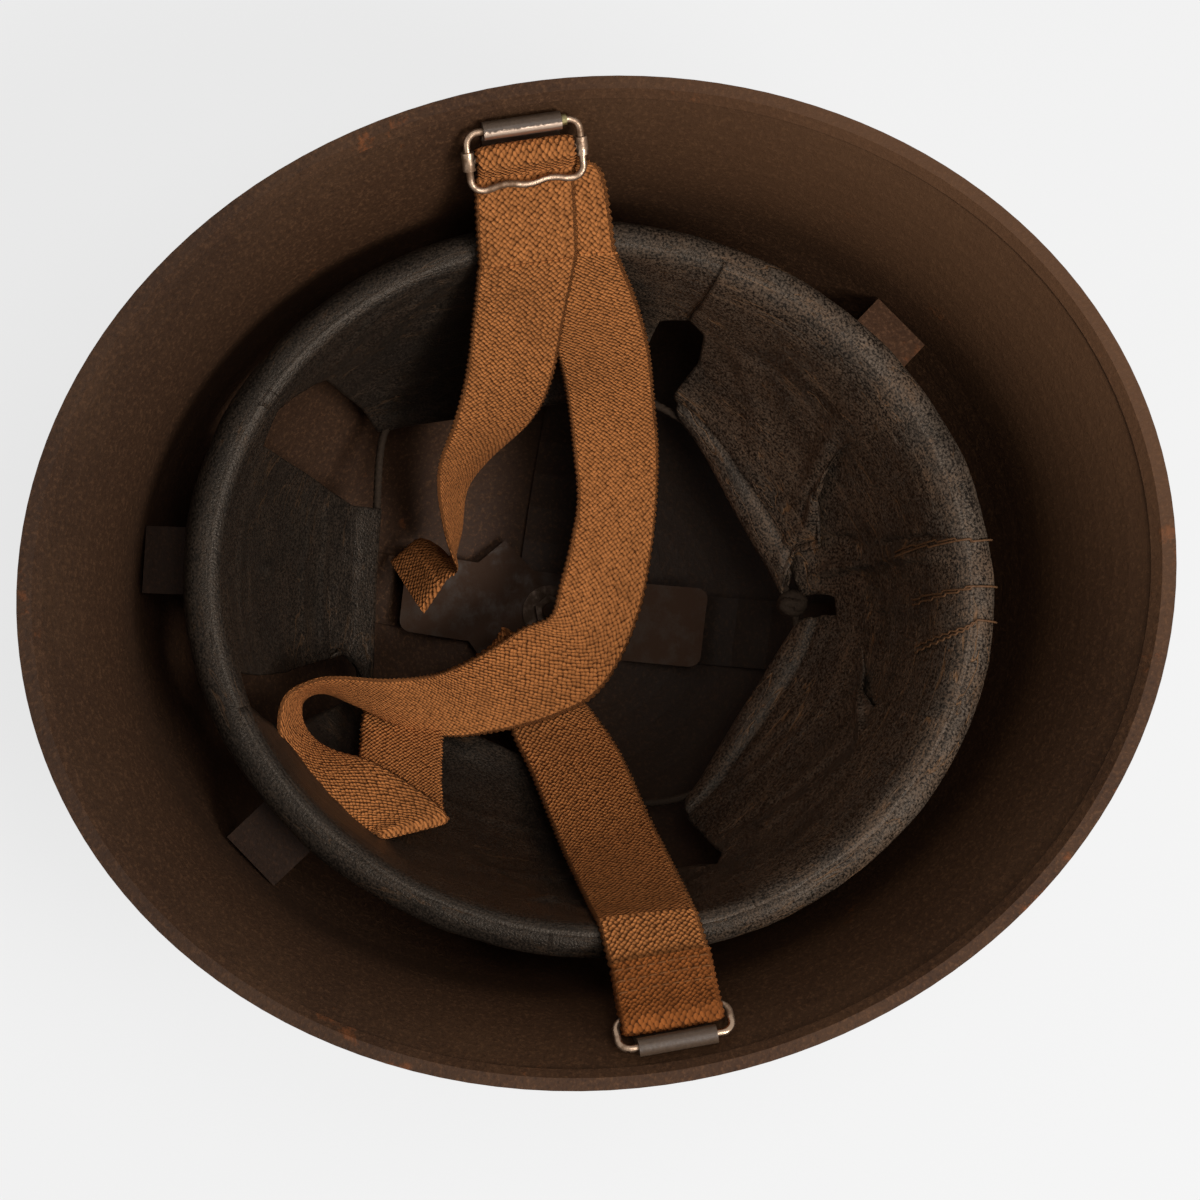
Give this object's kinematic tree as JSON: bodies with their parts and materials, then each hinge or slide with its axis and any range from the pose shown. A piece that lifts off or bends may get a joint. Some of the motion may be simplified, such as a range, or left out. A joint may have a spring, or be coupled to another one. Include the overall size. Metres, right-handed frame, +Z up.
{
  "type": "tank crew helmet",
  "caption": "Oval pressed steel crew helmet lying on its crown, with a flared brim, a leathercloth liner on a crown bolt and a webbing chinstrap with a wire buckle.",
  "frame": {"origin": "under the middle of the crown bolt, on which the helmet stands bowl up", "axes": "+Z up out of the bowl, front of the helmet towards -Y, wearer's left towards -X"},
  "size_m": [0.2454, 0.2838, 0.1476],
  "materials": {
    "shell_paint": "matt dark brown paint, speckled",
    "rim_paint": "matt paint, chipped",
    "crown_steel": "dull, rusted",
    "liner_steel": "matt paint, rusted",
    "tab_steel": "rusted spring steel",
    "rivet_steel": "dull",
    "leathercloth": "grained, half matt",
    "cord": "braided cord",
    "thread": "waxed thread",
    "lug_paint": "worn paint",
    "wire_steel": "tarnished wire",
    "sleeve_brass": "tarnished",
    "webbing": "ochre twill webbing"
  },
  "bodies": {
    "helmet": {"shell": "shell_paint", "rim_binding": "rim_paint", "crown_bolt": "crown_steel", "crown_washer": "crown_steel", "crown_nut": "crown_steel", "crown_plate": "crown_steel", "crown_band_long": "liner_steel", "crown_band_cross": "liner_steel", "head_band": "liner_steel", "spring_tab_front": "tab_steel", "spring_tab_front_right": "tab_steel", "spring_tab_rear_left": "tab_steel", "crown_band_rivets": "rivet_steel", "spring_tab_rivets": "rivet_steel", "sweatband_roll": "leathercloth", "tongue_left": "leathercloth", "tongue_front": "leathercloth", "tongue_right": "leathercloth", "tongue_rear_right": "leathercloth", "tongue_rear": "leathercloth", "tongue_rear_left": "leathercloth", "drawstring": "cord", "drawstring_knot": "cord", "rear_seam": "thread", "lug_left": "lug_paint", "lug_right": "lug_paint", "lug_rivets_left": "lug_paint", "lug_rivets_right": "lug_paint", "chinstrap": "webbing", "strap_tail": "webbing"},
    "buckle_left": {"buckle_frame": "wire_steel", "buckle_ferrule": "sleeve_brass"},
    "slide": {"slide_bar": "wire_steel", "strap_fold_left": "webbing"},
    "loop_right": {"strap_loop_right": "wire_steel", "strap_fold_right": "webbing"}
  },
  "joints": [
    {"name": "buckle_hinge", "type": "hinge", "parent": "helmet", "child": "buckle_left", "pos_m": [-0.11299, -0.0015, 0.1435], "axis": [0, -1, 0], "range_deg": [0, 140]},
    {"name": "strap_slide", "type": "slide", "parent": "buckle_left", "child": "slide", "axis": [0.9063, 0, -0.4226], "range_m": [-0.0009, 0.0016]},
    {"name": "loop_hinge", "type": "hinge", "parent": "helmet", "child": "loop_right", "pos_m": [0.11299, -0.0015, 0.1435], "axis": [0, 1, 0], "range_deg": [0, 120]}
  ]
}
